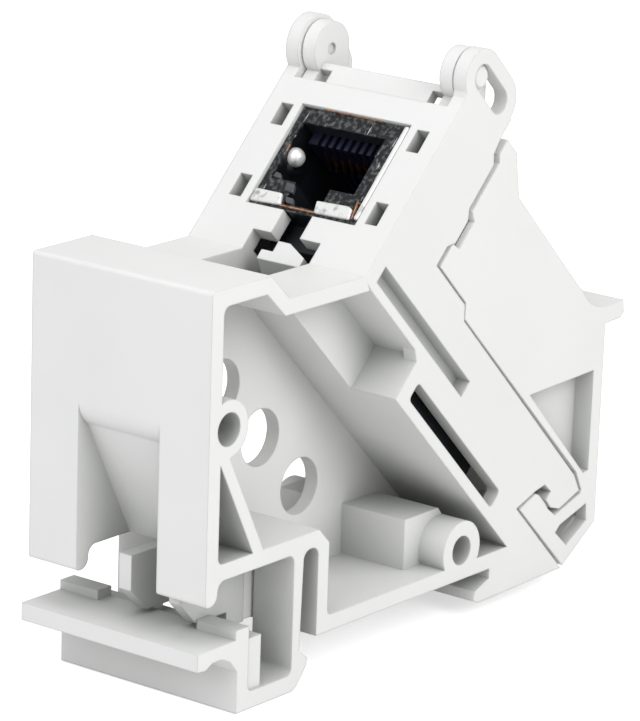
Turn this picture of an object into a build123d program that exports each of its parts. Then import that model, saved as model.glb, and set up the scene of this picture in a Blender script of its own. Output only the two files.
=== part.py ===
from build123d import *
from math import sqrt
import os

os.makedirs("parts", exist_ok=True)

# Frame, millimetres: Z = 0 is the seat on the rail and Z points away from the
# rail. X = 0 is the middle of the rail with the fixed hook at +X, and Y runs
# along the rail, with 0 in the middle of the module.

# Whole module
width = 25.6
side_wall = 1.8
seam = 0.3

# Slanted frame of the socket face: depth runs down into the module at 45
# degrees, rise runs up along the face. Depth 0 is the face itself.
face_x = -7.46
face_z = 41.01
tilt = sqrt(0.5)

# Front wall, top plates and legs
front_x = -34.6
front_wall = 2.0
leg_bottom_z = 8.05
leg_round = 1.2
plate_round = 1.0
loop_round = 0.8
slot_round = 1.15
top_z = 43.4
top_plate = 1.95
step_x = -24.7
low_top_z = 40.3
low_plate = 1.85
step_run = 3.2
edge_round = 0.5

# Screwdriver notch and its ramp
notch_half_width = 5.8
notch_top_z = 27.7
cheek = 2.0
ramp_foot_x = -25.65
ramp_plate = 1.6
bar_z = 10.6
bar_plate = 1.9

# Middle web, its three round holes and the ribs under the bar
web = 1.8
web_front_x = -32.0
web_hole = 6.8
web_hole_rise = -17.1
web_hole_depths = (3.1, 13.5, 23.95)
rib_y = -5.5
rib_plate = 1.6
rib_chamfer_z = 6.5
rib_bottom_z = 3.7
rib_rear_x = -21.0
rib_heel_x = -24.0
rib_heel_z = 1.9

# Pin sockets on the sides
front_boss_x = -31.3
front_boss_z = 27.6
front_boss_radius = 3.3
front_bore_radius = 1.9
base_boss_x = 12.0
base_boss_z = 3.6
base_boss_radius = 3.55
base_bore_radius = 1.75
bore_length = 8.0
base_block_front_x = 5.6
base_block_z = 8.0
base_block_recess = 3.6

# Base plate, rail groove and fixed hook
base_plate = 1.9
base_front_x = -15.0
base_front_wall = 1.9
groove_end_x = 17.7
lip_tip = (14.7, -3.3)
lip_top = (15.0, -2.2)
lip_root = (groove_end_x, -1.2)
lip_under = (15.7, -3.75)
hook_under_z = -3.45

# Spring foot with its latch nose and finger plate
arm_right_x = -17.6
arm_plate = 1.7
arm_root_z = bar_z + 0.3
foot_bar_z = -5.5
foot_bar = 2.0
foot_nose = ((-18.0, -1.1), (-16.5, -2.1), (-16.65, -3.0), (-18.2, -5.0))
upright_x = -28.9
upright_plate = 1.95
finger_tip_x = -35.7
finger_top_z = 3.1
finger_under = ((-30.1, 0.8), (-31.5, 1.5), (-33.2, 1.5), (-34.3, 0.9))
upstand_inner = 7.2
upstand_height = 1.1
upstand_length = 2.3
foot_block_length = 2.6
foot_block_z = 2.55
foot_block_recess = 0.4
arm_window_half = 7.1
finger_root_z = -0.6

# Socket face
face_plate = 2.0
face_foot_rise = -1.0
window_half_width = 7.85
window_low_rise = 4.9
window_high_rise = 18.9
face_head = 3.3
face_top_rise = window_high_rise + face_head
slot_inner = 8.95
slot_wide = 1.7
slot_tall = 3.0
upper_slot_rise = 17.0
lower_slot_rise = 6.9
centre_slot_far = 2.3
centre_slot_near = -1.85
centre_slot_rise = 1.75
centre_slot_run = 0.2

# Ears with the slots for the cover's pins
ear_plate = side_wall
ear_radius = 3.35
far_ear_radius = 3.85
ear_slot_lift = 5.1
ear_slot_rise = face_top_rise + ear_slot_lift
ear_slot_start = 1.0
ear_slot_run = 4.5
ear_slot_half = 1.55
ear_rear_depth = 9.1
ear_rear_lift = 2.46
ear_rear_rise = face_top_rise + ear_rear_lift
ear_root_lift = 1.5
ear_root_rise = face_top_rise + ear_root_lift

# Trough under the socket and the latch lever in it
trough_half_width = 6.4
trough_rise = -7.5
trough_floor = 1.4
recess_half_width = 4.85
recess_top_rise = 1.75
tunnel_depth = 15.5
tunnel_wall = 1.8
shelf_rise = -1.5
shelf_plate = 1.5
shelf_lip = 0.4
shelf_corner = (1.3, 0.8)
lever_near = -3.5
lever_far = 2.6
lever_front = 0.4
lever_flat_end = 3.0
lever_head = 2.2
lever_root_depth = 10.5
lever_plate = 1.5
lever_ridge_far = 1.0
lever_ridge_near = -0.7
lever_ridge_rise = 1.1
lever_front_rise = -1.6
lever_shoulder_rise = -0.35

# Side window and long groove in the side walls
side_window_start = 17.7
side_window_end = 41.3
side_window_rise = -3.7
groove_low_rise = -0.3
groove_high_rise = 1.9
groove_start = 2.3
groove_end = 26.0
groove_deep = 1.9
groove_backing = 1.0
side_window_round = 0.6

# Seam between housing and cover
shoulder_rise = 7.47
seam_top_lift = 0.4
seam_top_rise = face_top_rise + seam_top_lift
seam_step_depth = 18.25
long_seam_rise = 6.1
# Each step as its depth and its rise above the shoulder
seam_steps = ((10.2, 2.63), (11.2, 3.93), (11.2, 7.03), (10.35, 8.03))
seam_head_depth = 9.4
seam_head_step = 0.85
tongue_steps = ((12.1, 3.03), (13.3, 3.73), (13.3, 7.23), (12.25, 7.83))
tongue_head = 0.6
tongue_root = 1.0
tongue_depth = 1.0
tongue_plate = 0.8
tongue_reach = 1.5
tongue_step = 0.4
tongue_bend = 1.8
long_tongue_reach = 0.8
tongue_end = 51.5
tongue_side_gap = 0.2
tongue_room = 0.3
nose_room = 3.0

# Nose of the housing and hook finger of the cover
nose_shape = (
    (34.3, 7.8),
    (35.5, 5.6),
    (31.5, 4.2),
    (29.75, 4.72),
    (28.7, 5.9),
    (29.6, 6.8),
    (28.3, 7.9),
    (26.3, 7.5),
)
finger_shape = (
    (26.6, 7.15),
    (27.2, 6.84),
    (28.4, 5.65),
    (29.2, 4.65),
    (30.7, 3.55),
    (35.75, 5.1),
    (35.95, 5.6),
    (34.75, 8.05),
)
hook_split_rise = -3.3
hook_split_depth = 45.9

# Rear cover
cover_wall = 1.6
cover_top_step = 3.15
cover_top_rise = face_top_rise + cover_top_step
cover_top_end = 13.06
cover_back_drop = 0.1
cover_back_rise = face_top_rise - cover_back_drop
cover_back_start = 17.5
cover_bend = (1.4, 0.9)
cover_steps = ((10.9, 3.48), (12.35, 3.83), (12.35, 7.63), (11.15, 8.13))
cover_head_depth = 10.4
cover_head_step = 0.6
cover_step_run = 1.3
cover_split_run = 0.7
cover_long_gap = 0.25
cover_roof = 1.7
cover_rear_x = 39.1
hollow_front = 8.0
hollow_roof_end = 35.4
hollow_heel_x = 29.5
hollow_low_step = 0.8
tab_start_depth = 36.05
tab_hollow = ((34.3, 30.7), (37.4, 28.1), (39.6, 27.75))
tab_tip = ((43.0, 27.9), (43.2, 26.3), (42.4, 25.7))
tab_under_z = 25.6
tab_under_run = 0.3
cover_corner_z = 0.9
cover_heel = (32.7, -3.2)
pocket_shape = ((24.4, 19.8), (37.4, 20.2), (37.2, 7.75), (36.2, 7.6))
pocket_deep = 2.6
pocket_backing = 1.3
corner_window = ((37.1, 3.6), (37.3, 1.4), (33.3, -0.8), (30.9, 1.3), (31.8, 2.1))
outlet_half_width = 5.5
outlet_low_z = 4.0
outlet_high_z = 15.5
outlet_round = 2.0

# Neck of the cover: strip, discs and pins
disc_radius = 3.25
disc_plate = 1.8
disc_gap = 0.2
pin_radius = 1.45
pin_chamfer = 0.4
pin_recess = 0.2
neck_front = 1.0
neck_rise = face_top_rise + seam
neck_plate = 1.3
neck_floor = 1.0
neck_hole_wide = 1.7
neck_hole_tall = 1.9
neck_hole_long = 5.5
dimple_radius = 0.7
dimple_deep = 0.3

# Metal frame of the socket
frame_depth = 0.45
window_gap = 0.15
frame_half_width = window_half_width - window_gap
frame_low_rise = window_low_rise + window_gap
frame_high_rise = window_high_rise - window_gap
sheet = 0.4
frame_length = 15.4
mouth_near = -5.2
mouth_far = 6.75
mouth_low_rise = 8.9
upper_flange = 2.0
mouth_high_rise = frame_high_rise - upper_flange
latch_notch_near = -1.8
latch_notch_far = 3.2
latch_notch_rise = 5.9
collar_length = 5.0
dome_radius = 1.6
dome_out = 0.45
dome_taper = 50
dome_rise = 12.2
dome_depth = 2.6
fit_gap = 0.05

# Black body of the socket
body_tail = 0.2
body_front_length = frame_length + body_tail
plug_length = 12.0
lower_block_half = 4.6
lower_block_start = 3.5
lower_block_rise = 1.9
lower_block_rear = 4.6
lever_room = 2.2
body_root = 1.0
board_gap = 0.6
pad_wide = 1.0
pad_tall = 1.4
pad_inset = 0.7

# Contacts in their comb
contact_count = 8
contact_pitch = 1.1
contact_wide = 0.42
contact_thick = 0.34
comb_half_width = 5.4
comb_below = 1.5
comb_above = 1.0
comb_low_rise = mouth_high_rise - comb_below
comb_high_rise = mouth_high_rise + comb_above
comb_front = 2.4
comb_slot = 0.54
contact_front = 3.2
contact_run_lift = 0.3
contact_run_rise = mouth_high_rise + contact_run_lift
contact_drop = 1.2
contact_tip_depth = 6.4
contact_tip_drop = 2.3
contact_tip_rise = mouth_high_rise - contact_tip_drop
contact_tail = 0.4

# Board, contact block and wire cap
board_plate = 1.2
board_half_width = 7.0
board_low_rise = 0.6
board_head = 1.1
board_high_rise = window_high_rise - board_head
board_hole = 0.6
block_head = 0.5
block_high_rise = window_high_rise - block_head
block_end = 33.0
block_relief = 1.0
wire_slot_long = 2.4
wire_slot_wide = 1.3
idc_columns = 4
idc_pitch = 3.8
idc_low_rise = 3.0
idc_high_rise = 11.6
idc_plate = 0.5
idc_wide = 2.8
idc_length = 12.5
idc_tail_wide = 0.8
idc_tail_length = 1.7
idc_fork_gap = 0.4
idc_fork_deep = 5.0
idc_cell_gap = 0.1
cap_gap = 0.7
cap_end = 40.0
cap_side_gap = 0.6
cap_rim = 1.2
cap_cable_radius = 3.4
cap_cable_rise = 7.3
strap_front = 19.0
strap_long = 1.3
strap_plate = 0.35
strap_foot_rise = -5.2
strap_gap = 0.05

# Worked out from the sizes above
half_width = width / 2
inner_wall = half_width - side_wall
floor_rise = trough_rise + trough_floor
cover_inner = half_width - cover_wall
block_half_width = inner_wall - groove_backing - strap_plate - strap_gap
cap_half_width = half_width - pocket_deep - pocket_backing - cap_side_gap


def slant(depth, rise):
    """The X and Z of a point given in the slanted frame of the socket face."""
    return (face_x + (rise + depth) * tilt, face_z + (rise - depth) * tilt)


def depth_at_z(rise, height):
    """How deep a line of constant rise is where it reaches a height."""
    return rise + (face_z - height) / tilt


def depth_at_x(rise, across):
    """How deep a line of constant rise is where it reaches an X."""
    return (across - face_x) / tilt - rise


def side_plane(y_high):
    """Plane across the width: X to the right, Z up, pulled towards -Y."""
    return Plane.XZ.offset(-y_high)


def slanted_side(y_high):
    """The same plane with depth to the right and rise up."""
    return Plane(origin=(face_x, y_high, face_z), x_dir=(1, 0, -1), z_dir=(0, -1, 0))


def socket_plane(depth):
    """Plane along the socket face: Y to the right, rise up, pulled inwards."""
    x, z = slant(depth, 0)
    return Plane(origin=(x, 0, z), x_dir=(0, 1, 0), z_dir=(1, 0, -1))


def soften(sketch, radius, *points):
    """Round the corners of a sketch that lie at the given points."""
    fillet([sketch.vertices().sort_by_distance((x, y, 0))[0] for x, y in points], radius)


def tongue_outline(room, end):
    """Outline of the tongue in the slanted frame, with room added towards the cover."""
    lower = [(depth + room, shoulder_rise + lift - room) for depth, lift in tongue_steps[:2]]
    upper = [(depth + room, shoulder_rise + lift + room) for depth, lift in tongue_steps[2:]]
    head = seam_top_rise - tongue_head + room
    low_reach = shoulder_rise + tongue_reach + room
    long_reach = long_seam_rise + long_tongue_reach + room
    return (
        (seam_head_depth - tongue_root, head),
        (upper[-1][0], head),
        *reversed(upper),
        *reversed(lower),
        (lower[0][0], low_reach),
        (seam_step_depth + tongue_step + room, low_reach),
        (seam_step_depth + tongue_bend + room, long_reach),
        (end, long_reach),
        (end, long_seam_rise - tongue_root),
        (seam_head_depth - tongue_root, long_seam_rise - tongue_root),
    )


def both_sides(inner, outer):
    """The far ends of the same stretch of width on the near and the far side."""
    return ((-inner, outer - inner), (outer, outer - inner))


# Housing: one light moulding
front_inner_x = front_x + front_wall
step_low_x = step_x + step_run
foot_x = slant(0, 0)[0] + low_top_z - slant(0, 0)[1]
under_z = low_top_z - low_plate
face_inner_x = foot_x - low_plate + face_plate / tilt
ramp_slope = (notch_top_z - bar_z) / (ramp_foot_x - front_x)
ramp_shift = ramp_plate * sqrt(1 + ramp_slope**2) / ramp_slope
ramp_rise = ramp_plate * sqrt(1 + ramp_slope**2)
bar_top_z = bar_z + bar_plate
base_wall_rear_x = base_front_x + base_front_wall
arm_inner_x = arm_right_x - arm_plate
arm_window_x = arm_inner_x - plate_round - seam
upright_inner_x = upright_x + upright_plate
foot_floor_z = foot_bar_z + foot_bar
base_end_x = slant(depth_at_z(trough_rise, base_plate), trough_rise)[0]
hook_split_top = slant(depth_at_z(hook_split_rise, base_plate), hook_split_rise)
hook_end = slant(depth_at_z(hook_split_rise, hook_under_z), hook_split_rise)
tunnel_end = depth_at_z(trough_rise, base_plate)
trough_top_depth = depth_at_z(floor_rise, low_top_z)

with BuildPart() as housing:
    # Profile of the full width: front wall with the top plates, ramp behind the
    # notch, bar, base with the fixed hook, and the spring foot on its two arms
    with BuildSketch(Plane.XZ) as profile:
        with BuildLine():
            Polyline(
                (front_x, leg_bottom_z),
                (front_x, top_z),
                (step_x, top_z),
                (step_low_x, low_top_z),
                (foot_x, low_top_z),
                (face_inner_x, under_z),
                (step_low_x - low_plate / 3, under_z),
                (step_x - low_plate / 3, top_z - top_plate),
                (front_inner_x, top_z - top_plate),
                (front_inner_x, leg_bottom_z),
                close=True,
            )
        make_face()
        with BuildLine():
            Polyline(
                (front_inner_x - front_wall / 2, bar_z),
                (front_inner_x - front_wall / 2, bar_top_z),
                (base_wall_rear_x - bar_plate, bar_top_z),
                (base_wall_rear_x, bar_z),
                (base_wall_rear_x, base_plate),
                (hook_split_top[0], base_plate),
                hook_end,
                lip_under,
                lip_tip,
                lip_top,
                lip_root,
                (groove_end_x, 0),
                (base_front_x, 0),
                (base_front_x, bar_z),
                close=True,
            )
        make_face()
        with BuildLine():
            Polyline(
                (arm_right_x, arm_root_z),
                *foot_nose,
                (foot_nose[-1][0] - arm_plate / 2, foot_bar_z),
                (upright_x, foot_bar_z),
                (upright_x, finger_root_z),
                *finger_under,
                (finger_tip_x, finger_top_z / 3),
                (finger_tip_x, finger_top_z),
                (upright_inner_x, finger_top_z),
                (upright_inner_x, foot_floor_z),
                (arm_inner_x, foot_floor_z),
                (arm_inner_x, arm_root_z),
                close=True,
            )
        make_face()
        soften(profile, edge_round, (front_x, top_z), (front_x, leg_bottom_z))
        soften(profile, leg_round, (front_inner_x, leg_bottom_z))
        soften(profile, plate_round, (front_inner_x, top_z - top_plate), (arm_inner_x, bar_z))
        soften(profile, slot_round, (arm_right_x, bar_z), (base_front_x, bar_z))
        soften(
            profile,
            loop_round,
            (arm_inner_x, foot_floor_z),
            (upright_inner_x, foot_floor_z),
            (base_wall_rear_x, base_plate),
            (front_inner_x, bar_top_z),
        )
    extrude(amount=half_width, both=True)
    with BuildSketch(Plane.XZ):
        with BuildLine():
            Polyline(
                (front_x, notch_top_z),
                (front_x, notch_top_z + ramp_rise),
                (ramp_foot_x + ramp_shift, bar_z),
                (ramp_foot_x, bar_z),
                close=True,
            )
        make_face()
    extrude(amount=half_width, both=True)

    # Block in the loop of the foot, upstands on the finger plate, and the window
    # that parts the two spring arms
    with BuildSketch(Plane.XZ):
        with BuildLine():
            Polyline(
                (upright_x, foot_bar_z + foot_bar / 2),
                (upright_x, foot_block_z),
                (upright_inner_x + foot_block_length, foot_block_z),
                (upright_inner_x + foot_block_length, foot_bar_z + foot_bar / 2),
                close=True,
            )
        make_face()
    extrude(amount=half_width - foot_block_recess, both=True)
    for y_high, deep in both_sides(upstand_inner, half_width):
        with BuildSketch(side_plane(y_high)):
            with BuildLine():
                Polyline(
                    (upright_inner_x - upstand_length, finger_top_z - upstand_height),
                    (upright_inner_x - upstand_length, finger_top_z + upstand_height),
                    (upright_inner_x, finger_top_z + upstand_height),
                    (upright_inner_x, finger_top_z - upstand_height),
                    close=True,
                )
            make_face()
        extrude(amount=deep)
    with BuildSketch(Plane.YZ.offset(arm_window_x)):
        with Locations((0, (bar_z + foot_floor_z) / 2)):
            RectangleRounded(2 * arm_window_half, bar_z - foot_floor_z, plate_round)
    extrude(amount=base_front_x - arm_window_x, mode=Mode.SUBTRACT)

    # Web in the middle, from the front wall back to the trough and the base
    with BuildSketch(side_plane(web)):
        with BuildLine():
            Polyline(
                (front_inner_x, bar_z),
                (front_inner_x, top_z - top_plate),
                (step_x, top_z - top_plate / 2),
                (step_low_x, low_top_z - low_plate / 2),
                slant(depth_at_z(floor_rise, under_z), floor_rise),
                slant(tunnel_end, floor_rise),
                (base_end_x, base_plate / 2),
                (base_front_x, base_plate / 2),
                (base_front_x, bar_z),
                close=True,
            )
        make_face()
    extrude(amount=web)

    # Web and rib below the bar, above the finger plate
    for y_high, deep in ((web, web), (rib_y, rib_plate)):
        with BuildSketch(side_plane(y_high)):
            with BuildLine():
                Polyline(
                    (web_front_x, bar_z + bar_plate / 2),
                    (web_front_x, rib_chamfer_z),
                    (web_front_x + rib_chamfer_z - rib_bottom_z, rib_bottom_z),
                    (rib_rear_x, rib_bottom_z),
                    (rib_rear_x, bar_z + bar_plate / 2),
                    close=True,
                )
            make_face()
        extrude(amount=deep)
    # Heel of the near rib, reaching down behind the finger plate
    with BuildSketch(side_plane(rib_y)):
        with BuildLine():
            Polyline(
                (rib_heel_x, bar_z + bar_plate / 2),
                (rib_heel_x, rib_heel_z),
                (rib_rear_x, rib_heel_z),
                (rib_rear_x, bar_z + bar_plate / 2),
                close=True,
            )
        make_face()
    extrude(amount=rib_plate)

    # Screwdriver notch, cut through the front wall down to the ramp
    with BuildSketch(Plane.XZ):
        with BuildLine():
            Polyline(
                (front_x - cheek, notch_top_z),
                (front_x, notch_top_z),
                (ramp_foot_x, bar_z),
                (front_x - cheek, bar_z),
                close=True,
            )
        make_face()
        with BuildLine():
            Polyline(
                (front_x - cheek, bar_z),
                (front_inner_x, bar_z),
                (front_inner_x, leg_bottom_z - cheek),
                (front_x - cheek, leg_bottom_z - cheek),
                close=True,
            )
        make_face()
    extrude(amount=notch_half_width, both=True, mode=Mode.SUBTRACT)

    # Cheeks on both sides of the notch
    for y_high, deep in both_sides(notch_half_width, notch_half_width + cheek):
        with BuildSketch(side_plane(y_high)):
            with BuildLine():
                Polyline(
                    (front_x, bar_z),
                    (front_x, notch_top_z),
                    (ramp_foot_x, bar_z),
                    close=True,
                )
            make_face()
        extrude(amount=deep)

    # Hollow corners where the legs run into the bar
    for y_high, deep in both_sides(notch_half_width, half_width):
        with BuildSketch(side_plane(y_high)):
            with Locations((front_inner_x + leg_round / 2, bar_z - leg_round / 2)):
                Rectangle(leg_round, leg_round)
            with Locations((front_inner_x + leg_round, bar_z - leg_round)):
                Circle(leg_round, mode=Mode.SUBTRACT)
        extrude(amount=deep)

    # Side walls round the socket, the tunnel and the nose
    for y_high, deep in both_sides(inner_wall, half_width):
        with BuildSketch(side_plane(y_high)):
            with BuildLine():
                Polyline(
                    slant(0, face_foot_rise),
                    slant(0, ear_root_rise),
                    slant(ear_rear_depth, ear_rear_rise),
                    slant(seam_head_depth, seam_top_rise),
                    slant(seam_steps[-1][0], seam_top_rise - seam_head_step),
                    *[slant(depth, shoulder_rise + lift) for depth, lift in reversed(seam_steps)],
                    slant(seam_steps[0][0], shoulder_rise),
                    slant(seam_step_depth, shoulder_rise),
                    slant(seam_step_depth + shoulder_rise - long_seam_rise, long_seam_rise),
                    *nose_shape,
                    slant(hook_split_depth, hook_split_rise),
                    slant(depth_at_z(hook_split_rise, base_plate / 2), hook_split_rise),
                    slant(depth_at_z(trough_rise, base_plate / 2), trough_rise),
                    slant(tunnel_depth, trough_rise),
                    slant(tunnel_depth, shelf_rise - shelf_corner[1]),
                    slant(tunnel_depth - shelf_corner[0], shelf_rise),
                    slant(face_plate, shelf_rise),
                    close=True,
                )
            make_face()
        extrude(amount=deep)

    # Tongue along the seam, set back behind the outer face
    tongue_outer = half_width - tongue_depth
    for y_high, deep in both_sides(tongue_outer - tongue_plate, tongue_outer):
        with BuildSketch(slanted_side(y_high)):
            with BuildLine():
                Polyline(*tongue_outline(0, tongue_end), close=True)
            make_face()
        extrude(amount=deep)

    # Ears above the socket face
    ear_sides = both_sides(half_width - ear_plate, half_width)
    for (y_high, deep), front_radius in zip(ear_sides, (ear_radius, far_ear_radius)):
        with BuildSketch(slanted_side(y_high)):
            with Locations((ear_slot_start, ear_slot_rise)):
                Circle(front_radius)
            with Locations((ear_slot_start + ear_slot_run, ear_slot_rise)):
                Circle(ear_radius)
            with BuildLine():
                Polyline(
                    (ear_slot_start, ear_slot_rise + ear_radius),
                    (ear_slot_start + ear_slot_run, ear_slot_rise + ear_radius),
                    (ear_rear_depth, ear_slot_rise),
                    (ear_rear_depth, face_top_rise),
                    (0, face_top_rise),
                    (0, ear_root_rise),
                    (ear_slot_start - ear_radius, ear_slot_rise),
                    close=True,
                )
            make_face()
            with Locations((ear_slot_start + ear_slot_run / 2, ear_slot_rise)):
                SlotCenterToCenter(ear_slot_run, 2 * ear_slot_half, mode=Mode.SUBTRACT)
        extrude(amount=deep)

    # Socket face with its window and the four slots beside it
    with BuildSketch(socket_plane(0)):
        with Locations((0, (face_foot_rise + face_top_rise) / 2)):
            Rectangle(width, face_top_rise - face_foot_rise)
    extrude(amount=face_plate)
    with BuildSketch(socket_plane(0)):
        with Locations((0, (window_low_rise + window_high_rise) / 2)):
            Rectangle(2 * window_half_width, window_high_rise - window_low_rise)
        for side in (-1, 1):
            for slot_rise in (lower_slot_rise, upper_slot_rise):
                with Locations((side * (slot_inner + slot_wide / 2), slot_rise)):
                    Rectangle(slot_wide, slot_tall)
    extrude(amount=face_plate, mode=Mode.SUBTRACT)

    # Shelf, trough floor and tunnel floor, and the end wall of the tunnel
    with BuildSketch(slanted_side(half_width)):
        with BuildLine():
            Polyline(
                (0, shelf_rise + shelf_lip),
                (0, shelf_rise + shelf_plate),
                (tunnel_depth + tunnel_wall, shelf_rise + shelf_plate),
                (tunnel_depth + tunnel_wall, trough_rise),
                (tunnel_depth, trough_rise),
                (tunnel_depth, shelf_rise),
                (face_plate, shelf_rise),
                close=True,
            )
        make_face()
    extrude(amount=width)
    with BuildSketch(side_plane(trough_half_width)):
        with BuildLine():
            Polyline(
                slant(trough_top_depth, floor_rise),
                slant(0, face_foot_rise),
                slant(0, shelf_rise + shelf_plate),
                slant(tunnel_depth, shelf_rise + shelf_plate),
                slant(tunnel_depth, trough_rise),
                slant(depth_at_z(trough_rise, under_z), trough_rise),
                close=True,
            )
        make_face()
    extrude(amount=2 * trough_half_width)
    with BuildSketch(side_plane(half_width)):
        with BuildLine():
            Polyline(
                slant(tunnel_depth, trough_rise),
                slant(tunnel_depth, floor_rise),
                slant(depth_at_z(floor_rise, base_plate / 2), floor_rise),
                slant(depth_at_z(trough_rise, base_plate / 2), trough_rise),
                close=True,
            )
        make_face()
    extrude(amount=width)

    # Room for the latch: recess in front of and under the socket
    with BuildSketch(side_plane(recess_half_width)):
        with BuildLine():
            Polyline(
                slant(trough_top_depth, floor_rise),
                slant(tunnel_depth + tunnel_wall, floor_rise),
                slant(tunnel_depth + tunnel_wall, recess_top_rise),
                slant(-cheek, recess_top_rise),
                slant(trough_top_depth - cheek, floor_rise + cheek),
                close=True,
            )
        make_face()
    extrude(amount=2 * recess_half_width, mode=Mode.SUBTRACT)
    with BuildSketch(socket_plane(0)):
        with Locations(
            ((centre_slot_far + centre_slot_near) / 2, (centre_slot_rise + window_low_rise) / 2)
        ):
            Rectangle(
                centre_slot_far - centre_slot_near,
                window_low_rise - centre_slot_rise + centre_slot_run,
            )
    extrude(amount=face_plate, mode=Mode.SUBTRACT)

    # Latch lever: a springy tongue that rises from the trough floor
    with BuildSketch(slanted_side(lever_far)):
        with BuildLine():
            Polyline(
                (lever_front, lever_front_rise),
                (lever_front, lever_shoulder_rise),
                (lever_flat_end, lever_shoulder_rise),
                (lever_root_depth + lever_plate, floor_rise),
                (lever_root_depth, floor_rise - trough_floor / 2),
                (lever_root_depth - lever_plate, floor_rise - trough_floor / 2),
                (lever_front + lever_head, lever_front_rise - lever_plate / 2),
                close=True,
            )
        make_face()
    extrude(amount=lever_far - lever_near)
    with BuildSketch(socket_plane(lever_front)):
        with BuildLine():
            Polyline(
                (lever_near, lever_shoulder_rise - lever_plate / 2),
                (lever_near, lever_shoulder_rise),
                (lever_ridge_near, lever_ridge_rise),
                (lever_ridge_far, lever_ridge_rise),
                (lever_ridge_far, lever_shoulder_rise - lever_plate / 2),
                close=True,
            )
        make_face()
    extrude(amount=lever_head)

    # Backing for the long grooves, then the grooves themselves
    for y_high, deep in both_sides(inner_wall - groove_backing, half_width):
        with BuildSketch(slanted_side(y_high)):
            with Locations(
                (
                    (face_plate + groove_end + 1) / 2,
                    (shelf_rise + groove_high_rise + groove_backing) / 2,
                )
            ):
                Rectangle(
                    groove_end + 1 - face_plate,
                    groove_high_rise + groove_backing - shelf_rise,
                )
        extrude(amount=deep)
    for side in (-1, 1):
        with BuildSketch(socket_plane(groove_start)):
            with BuildLine():
                Polyline(
                    (side * half_width, groove_low_rise),
                    (side * (half_width - groove_deep), (groove_low_rise + groove_high_rise) / 2),
                    (side * (half_width - groove_deep), groove_high_rise),
                    (side * half_width, groove_high_rise),
                    close=True,
                )
            make_face()
        extrude(amount=groove_end - groove_start, mode=Mode.SUBTRACT)

    # Long windows low in the side walls
    for y_high, deep in both_sides(inner_wall, half_width):
        with BuildSketch(slanted_side(y_high)):
            with Locations(
                ((side_window_start + side_window_end) / 2, (floor_rise + side_window_rise) / 2)
            ):
                RectangleRounded(
                    side_window_end - side_window_start,
                    side_window_rise - floor_rise,
                    side_window_round,
                )
        extrude(amount=deep, mode=Mode.SUBTRACT)

    # Round holes through the web
    with BuildSketch(slanted_side(web)):
        with Locations([(depth, web_hole_rise) for depth in web_hole_depths]):
            Circle(web_hole / 2)
    extrude(amount=web, mode=Mode.SUBTRACT)

    # Pin sockets: the front ones, and those on blocks on the base
    for y_high, deep in both_sides(0, half_width):
        with BuildSketch(side_plane(y_high)):
            with Locations((front_boss_x, front_boss_z)):
                Circle(front_boss_radius)
            with Locations((base_boss_x, base_boss_z)):
                Circle(base_boss_radius)
        extrude(amount=deep)
    for y_high, deep in both_sides(0, half_width - base_block_recess):
        with BuildSketch(side_plane(y_high)):
            with BuildLine():
                Polyline(
                    (base_block_front_x, base_plate / 2),
                    (base_block_front_x, base_block_z),
                    (base_boss_x, base_block_z),
                    (base_boss_x + base_boss_radius, base_boss_z),
                    (base_boss_x + base_boss_radius, base_plate / 2),
                    close=True,
                )
            make_face()
        extrude(amount=deep)
    for y_high, deep in ((-half_width + bore_length, bore_length), (half_width, bore_length)):
        with BuildSketch(side_plane(y_high)):
            with Locations((front_boss_x, front_boss_z)):
                Circle(front_bore_radius)
            with Locations((base_boss_x, base_boss_z)):
                Circle(base_bore_radius)
        extrude(amount=deep, mode=Mode.SUBTRACT)

housing.part.label = "housing"
export_step(housing.part, "parts/housing.step")


# Rear cover: the second light moulding, hung on its pins in the ears
cover_seam_rise = long_seam_rise + cover_long_gap
cover_head_rise = seam_top_rise + cover_head_step
pin_depth = ear_slot_start
rear_inner_x = cover_rear_x - cover_roof
slope_length = sqrt((cover_rear_x - cover_heel[0]) ** 2 + (cover_corner_z - cover_heel[1]) ** 2)
heel_lift = cover_wall * slope_length / (cover_rear_x - cover_heel[0])
heel_slope = (cover_corner_z - cover_heel[1]) / (cover_rear_x - cover_heel[0])
hollow_heel_z = cover_heel[1] + heel_lift - heel_slope * (cover_heel[0] - hollow_heel_x)
disc_outer = half_width - ear_plate - disc_gap
disc_inner = disc_outer - disc_plate

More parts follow.
